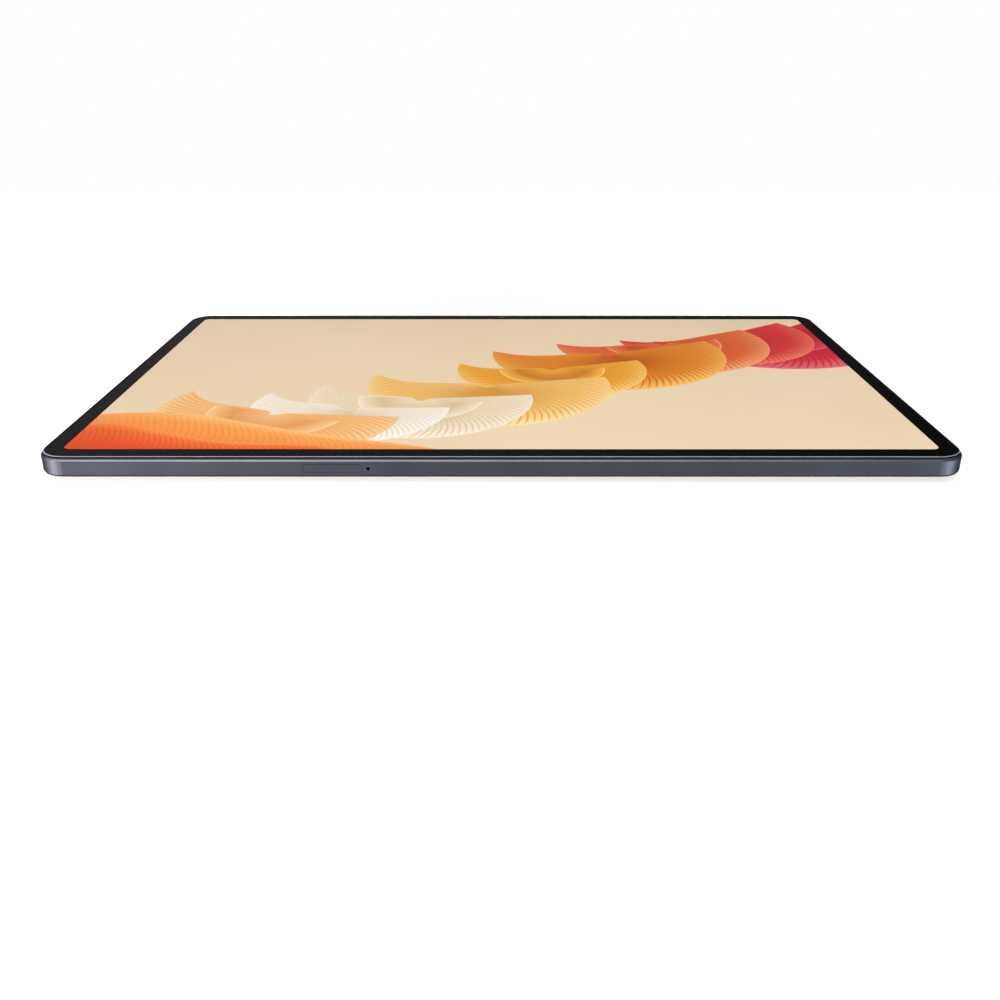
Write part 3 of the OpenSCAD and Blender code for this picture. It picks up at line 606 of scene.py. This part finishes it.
def lay_sheet(name, first, second, material, bow=0.0, columns=90, rows=14):
    """Lays a sheet between two curves, in millimetres from the picture's centre. bow bends its ribs."""
    global layers_laid
    z = glass_low.z + layers_laid * layer_gap
    layers_laid += 1
    one, two = smooth_path(first, columns + 1), smooth_path(second, columns + 1)
    points = []
    for row in range(rows + 1):
        v = row / rows
        for column in range(columns + 1):
            pushed = min(max(column + bow * columns * math.sin(math.pi * v), 0), columns)
            low = min(int(pushed), columns - 1)
            t = pushed - low
            start = one[low].lerp(one[low + 1], t)
            end = two[low].lerp(two[low + 1], t)
            spot = start.lerp(end, v)
            points.append((spot.x * MM, spot.y * MM, z))
    wide = columns + 1
    faces = [(row * wide + k, row * wide + k + 1, (row + 1) * wide + k + 1, (row + 1) * wide + k)
             for row in range(rows) for k in range(columns)]
    sheet = new_object(name, points, faces, material)
    uv = sheet.data.uv_layers.new(name="across_and_along")
    for loop in sheet.data.loops:
        row, column = divmod(loop.vertex_index, wide)
        uv.data[loop.index].uv = (column / columns, row / rows)
    trim_to_border(sheet.data)
    ride_body(sheet, smooth=False)


print("room for", round(ink_height / layer_gap) - 1, "sheets under the ink")

# %% [markdown]
# Behind the sheets lies the sand, one flat face as wide as the opening and a little more. A slow noise
# moves its colour by a few shades, as a plain sheet of paper under soft light does.

# %% Lay the sand
sand = rgb(235, 211, 176)
backing = glow("lit_sand", sand)
tree = backing.node_tree
cloud = add_node(tree, "ShaderNodeTexNoise")
cloud.inputs["Scale"].default_value = 14
tone = add_node(tree, "ShaderNodeValToRGB")
set_ramp(tone, [(0.3, rgb(234, 209, 173)), (0.7, rgb(237, 214, 180))])
link(tree, place_in_part(tree, (1, 1, 1)), cloud.inputs["Vector"])
link(tree, cloud.outputs[0], tone.inputs[0])
link(tree, tone.outputs[0], shader_of(backing).inputs["Emission Color"])
sand_z = glass_low.z + 0.5 * layer_gap
picture_loop = rounded_loop(opening[0] + tucked, opening[1] + tucked, 2 * MM, sand_z)
picture = new_object("lit_background", picture_loop, [tuple(range(len(picture_loop)))], backing)
ride_body(picture, smooth=False)
print("sand", [round(2 * (side + tucked) / MM, 1) for side in opening], "mm")

# %% [markdown]
# The design is a plain one of paper fans, laid like roof tiles on a diagonal from the far right to the near
# left, with two paper dunes before them. A fan is a sheet between a small arc and a large one round the
# same centre, so its ribs run outwards from the centre by themselves. One loop lays the fans: place, size
# and heading each go evenly from the first fan's to the last one's, with a slow wave added, and only the
# colours are chosen one by one. Every other fan has a smaller fold on top.

# %% Lay the paper fans
def arc(centre, radius, heading, spread, steps=36):
    """Points on an arc, in millimetres, that opens by spread degrees on both sides of its heading."""
    angles = [math.radians(heading - spread + 2 * spread * k / steps) for k in range(steps + 1)]
    return [(centre[0] + radius * math.cos(angle), centre[1] + radius * math.sin(angle)) for angle in angles]


def between(first, last, along):
    return first + (last - first) * along


row_start = (106, 52)
row_end = (-70, -44)
row_sway = 10
fan_radii = (43, 34)
radius_sway = 5
fan_headings = (-62, -110)
fan_spread = 105
fold_spread = 90
fold_share = 0.56
fan_colours = [
    ("crimson", rgb(176, 26, 46), rgb(214, 52, 66), rgb(236, 110, 122)),
    ("scarlet", rgb(186, 34, 44), rgb(218, 62, 58), rgb(240, 124, 96)),
    ("vermilion", rgb(190, 66, 30), rgb(230, 106, 58), rgb(246, 168, 112)),
    ("amber", rgb(186, 88, 20), rgb(230, 140, 44), rgb(250, 194, 92)),
    ("gold", rgb(198, 112, 22), rgb(238, 168, 54), rgb(253, 214, 118)),
    ("honey", rgb(212, 146, 62), rgb(244, 194, 112), rgb(252, 226, 164)),
    ("cream", rgb(214, 186, 140), rgb(238, 220, 188), rgb(248, 236, 214)),
    ("white", rgb(222, 200, 164), rgb(244, 234, 218), rgb(250, 245, 236)),
    ("peach", rgb(226, 150, 78), rgb(245, 190, 124), rgb(250, 218, 170)),
]
for number, (colour, dark, middle, light) in enumerate(fan_colours):
    along = number / (len(fan_colours) - 1)
    centre = (between(row_start[0], row_end[0], along),
              between(row_start[1], row_end[1], along) + row_sway * math.sin(math.tau * along))
    radius = between(*fan_radii, along) + radius_sway * math.cos(3 * math.tau * along)
    heading = between(*fan_headings, along)
    paper = sheet_finish(colour + "_paper",
                         [(0, dark), (0.3, dark), (0.75, middle), (0.96, light), (1, light)],
                         54, dark, [(0, 0.0), (0.45, 0.35), (0.85, 0.8), (0.95, 0.5), (1, 0.0)],
                         (middle, [(0, 0.9), (0.3, 0.2), (0.6, 0.0), (1, 0.8)]))
    lay_sheet(colour + "_fan", arc(centre, 3, heading, fan_spread), arc(centre, radius, heading, fan_spread),
              paper, 0.05)
    if number % 2 == 0:
        inner = sheet_finish(colour + "_fold_paper", [(0, middle), (0.6, dark), (0.95, middle), (1, light)],
                             40, light, [(0, 0.0), (0.6, 0.25), (1, 0.6)])
        lay_sheet(colour + "_fold", arc(centre, 2, heading, fold_spread),
                  arc(centre, fold_share * radius, heading, fold_spread), inner, -0.05)
print(len(fan_colours), "fans, the last one", round(radius, 1), "mm in radius")

# %% [markdown]
# The dunes are bands under a wave. Each crest is a sine of its own length and height that falls off towards
# the right, and each band reaches past the edge of the picture, where it is cut off.

# %% Lay the paper dunes
dune_foot = -80
dune_base = -82


def dune(name, left, right, crest, height, waves, colours, ribs, steps=24):
    """A band from left to right, whose crest swings by height about a level and falls off at the right."""
    over, under = [], []
    for k in range(steps + 1):
        x = left + (right - left) * k / steps
        fall = 1 - (k / steps) ** 3
        rise = crest - dune_foot + height * math.sin(waves * math.tau * k / steps)
        over.append((x, dune_foot + rise * fall))
        under.append((x, dune_base))
    near, middle, far = colours
    paper = sheet_finish(name + "_paper", [(0, far), (0.2, middle), (0.8, near), (1, middle)],
                         ribs, near, [(0, 0.0), (0.2, 0.5), (0.7, 0.7), (1, 0.2)],
                         (near, [(0, 0.8), (0.35, 0.1), (0.7, 0.0), (1, 0.5)]))
    lay_sheet(name, over, under, paper, 0.04)


dune("far_dune", -140, -10, -50, 7, 1.0, (rgb(238, 128, 52), rgb(248, 166, 84), rgb(252, 196, 120)), 60)
dune("near_dune", -140, -40, -60, 6, 1.2, (rgb(218, 66, 22), rgb(246, 116, 46), rgb(252, 156, 78)), 54)
highest = (layers_laid - 1) * layer_gap
print(layers_laid - 1, "sheets, the highest", round(highest / MM, 2), "mm above the panel")

# %% [markdown]
# ## Polished chamfer
# After anodising, the edge round the front of the housing is cut again with a diamond tool. That bare
# chamfer is brighter and smoother than the blasted wall below it. The faces are already there in the CAD
# part, so they only need a second finish: the ones near the top that lean halfway between upright and flat.

# %% Polish the front chamfer
chamfer_finish = blasted_metal("cut_chamfer", (0.27, 0.28, 0.33), (0.33, 0.34, 0.4), (0.18, 0.24),
                               0.0005 * MM)
housing_mesh = nodes["rear_housing"].data
housing_mesh.materials.append(chamfer_finish)
chamfer_depth = 0.42 * MM
polished = 0
for face in housing_mesh.polygons:
    if face.center.z > housing_high.z - chamfer_depth and 0.5 < face.normal.z < 0.9:
        face.material_index = 1
        polished += 1
print(polished, "chamfer faces polished")

# %% [markdown]
# ## Round edges
# The keys and the ring of the camera island are rounded at the edge, so that a finger doesn't feel them as
# sharp. The CAD parts have square edges, and a bevel modifier rounds them without touching the part itself.

# %% Round the edges that a finger meets
def soften_edges(node, width, steps=3):
    bevel = nodes[node].modifiers.new("soft_edge", "BEVEL")
    bevel.width = width
    bevel.segments = steps
    bevel.limit_method = "ANGLE"
    bevel.angle_limit = math.radians(50)
    bevel.use_clamp_overlap = True


key_round = 0.18 * MM
ring_round = 0.1 * MM
for node in ("volume_rocker", "power_button"):
    soften_edges(node, key_round)
soften_edges("camera_base_ring", ring_round, 2)
print("edges rounded by", round(key_round / MM, 2), "and", round(ring_round / MM, 2), "mm")

# %% [markdown]
# ## Brushed strip
# The strip along the back's top edge is brushed in one direction. Brushing leaves scratches many
# centimetres long and a few hundredths of a millimetre wide, so its pattern is one noise, squeezed hard
# across the strip and hardly at all along it. It moves the colour, the roughness and the surface together,
# as a scratch does.

# %% Brush the strip
def brushed_metal(name, dark, light, stretch, roughness=(0.2, 0.42), depth=0.003 * MM):
    metal = finish(name, light, roughness[1], 1.0)
    place = place_in_part(metal.node_tree, stretch)
    vary_colour(metal, place, dark, light, 9, 4.0)
    add_grain(metal, place, 20, roughness, depth, 6.0)
    return metal


strip_finish = brushed_metal("brushed_strip", (0.04, 0.0425, 0.054), (0.105, 0.11, 0.135), (1.2, 260, 1))
nodes["antenna_strip"].data.materials[0] = strip_finish
print("strip in", strip_finish.name)

# %% [markdown]
# ## Camera island
# The black disc is turned on a lathe. The tool leaves rings round the centre, and rings spread each
# highlight into two bright fans, which is what an anisotropic shader draws when its tangent runs round the
# middle of the disc. Real grooves in the mesh would need thousands of faces for the same look.

# %% Finish the disc and its rings
def turned_metal(name, dark, light, roughness=(0.24, 0.3)):
    metal = finish(name, light, roughness[1], 1.0, Anisotropic=0.8)
    tree = metal.node_tree
    around = add_node(tree, "ShaderNodeTangent", direction_type="RADIAL", axis="Z")
    link(tree, around.outputs[0], shader_of(metal).inputs["Tangent"])
    vary_colour(metal, place_in_part(tree, (1, 1, 1)), dark, light, 50)
    return metal


disc_finish = turned_metal("turned_black_disc", (0.022, 0.023, 0.028), (0.028, 0.0295, 0.036))
nodes["camera_disc"].data.materials[0] = disc_finish
ring_finish = blasted_metal("satin_black_ring", (0.05, 0.052, 0.06), (0.06, 0.062, 0.072), (0.2, 0.28),
                            0.001 * MM)
for node in ("camera_base_ring", "camera_trim_ring", "flash_trim_ring"):
    nodes[node].data.materials[0] = ring_finish
print("disc in", disc_finish.name, "and its rings in", ring_finish.name)

# %% [markdown]
# The rear camera looks through a domed lens, which rides on the moving barrel. A dome is a profile turned
# round an upright axis, so one helper turns it, and the front camera's ring and lens later on.

# %% Turn the rear lens
def turn(name, profile, centre, material, slot, body="body", steps=48):
    """Turns a profile of (radius, z) points round an upright axis through centre."""
    turns = [k / steps * math.tau for k in range(steps)]
    loops = [[(centre[0] + radius * math.cos(a), centre[1] + radius * math.sin(a), z) for a in turns]
             for radius, z in profile]
    points, faces = join_loops(loops)
    cap_ends(points, faces, steps)
    turned = new_object(name, points, faces, material)
    ride_body(turned, body)
    flatten_caps(turned)


barrel_low, barrel_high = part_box("rear_lens_barrel")
lens_centre = ((barrel_low.x + barrel_high.x) / 2, (barrel_low.y + barrel_high.y) / 2)
lens_finish = coated_glass("coated_lens", (0.008, 0.008, 0.02), (0.015, 0.02, 0.05), 0.04, 300,
                           IOR=1.6, Coat_Weight=1.0)
dome_radius = 1.28 * MM
dome_rise = 0.4 * MM
dome_z = barrel_low.z + 0.6 * MM
lip_z = dome_z - 0.05 * MM
dome_turns = [k * math.pi / 16 for k in range(1, 8)]
dome = [(dome_radius, dome_z), (dome_radius, lip_z)]
dome += [(dome_radius * math.cos(a), lip_z - dome_rise * math.sin(a)) for a in dome_turns]
turn("rear_lens_dome", list(reversed(dome)), lens_centre, lens_finish, "lens_glass", "lens_barrel")
print("lens dome", round(2 * dome_radius / MM, 2), "mm across, at", [round(v / MM, 1) for v in lens_centre])

# %% [markdown]
# Two round windows close the island: one over the lens, one over the four diodes of the flash. Both are
# lightly tinted glass, so what lies behind them shows darker.

# %% Glaze the windows
window_finish = coated_glass("tinted_window", (0.48, 0.5, 0.54), (0.52, 0.54, 0.58), 0.0,
                             Transmission_Weight=1.0, IOR=1.3)
for node in ("camera_window", "flash_window"):
    nodes[node].data.materials[0] = window_finish
print("windows in", window_finish.name)

# %% [markdown]
# ## Front camera
# The front camera looks through a small spot in the printed border. From above only its dark, slightly
# domed lens shows, with a thin ring round it. A real one has a hole in the ink with the camera behind it.
# Here thin turned shapes lie just over the ink, so the border stays one simple ring.

# %% Add the front lens
camera_low, camera_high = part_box("front_camera")
front_centre = ((camera_low.x + camera_high.x) / 2, (camera_low.y + camera_high.y) / 2)
spot_z = border_z + 0.002 * MM
spot_radius = 1.35 * MM
ring_profile = [(spot_radius, spot_z - 0.001 * MM), (spot_radius, spot_z), (1.2 * MM, spot_z)]
turn("front_camera_ring", ring_profile, front_centre, finishes["camera_plastic"], "camera_plastic")
lens_profile = [(0.9 * MM, spot_z), (0.9 * MM, spot_z + 0.001 * MM), (0.6 * MM, spot_z + 0.003 * MM),
                (0.3 * MM, spot_z + 0.004 * MM)]
turn("front_camera_lens", lens_profile, front_centre, lens_finish, "lens_glass")
print("front camera spot", round(2 * spot_radius / MM, 2), "mm across")

# %% [markdown]
# ## USB-C contacts
# The tongue of the port carries twelve gold contacts on each face. They are rounded strips, a quarter of a
# millimetre wide, half a millimetre apart.

# %% Add the contacts
tongue_low, tongue_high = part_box("usb_tongue")
contact_gold = rolled_sheet("contact_gold", (0.7, 0.5, 0.16), (0.8, 0.6, 0.24), (0.18, 0.26))
contacts_a_side = 12
contact_pitch = 0.5 * MM
contact_half = (1.9 * MM, 0.125 * MM)
contact_corner = 0.1 * MM
contact_lift = 0.03 * MM
contact_rows = ((0, -0.01 * MM), (0, 0.6 * contact_lift), (0.04 * MM, contact_lift))
contact_x = tongue_high.x - 2.4 * MM


def contact_loop(inset, y, z):
    """One loop round a contact whose middle is at y."""
    outline = rounded_loop(contact_half[0] - inset, contact_half[1] - inset, contact_corner - inset, z, 4)
    return [(point[0] + contact_x, point[1] + y, z) for point in outline]


points, faces = [], []
for side, face_z in ((1, tongue_high.z), (-1, tongue_low.z)):
    for k in range(contacts_a_side):
        y = (k - (contacts_a_side - 1) / 2) * contact_pitch
        strip = [contact_loop(inset, y, face_z + side * lift) for inset, lift in contact_rows]
        more_points, more_faces = join_loops(strip)
        cap_ends(more_points, more_faces, len(strip[0]))
        if side < 0:
            more_faces = [tuple(reversed(face)) for face in more_faces]
        faces += [tuple(index + len(points) for index in face) for face in more_faces]
        points += more_points
contacts = new_object("usb_contacts", points, faces, contact_gold)
ride_body(contacts, smooth=False)
print(len(faces), "faces in", 2 * contacts_a_side, "contacts")
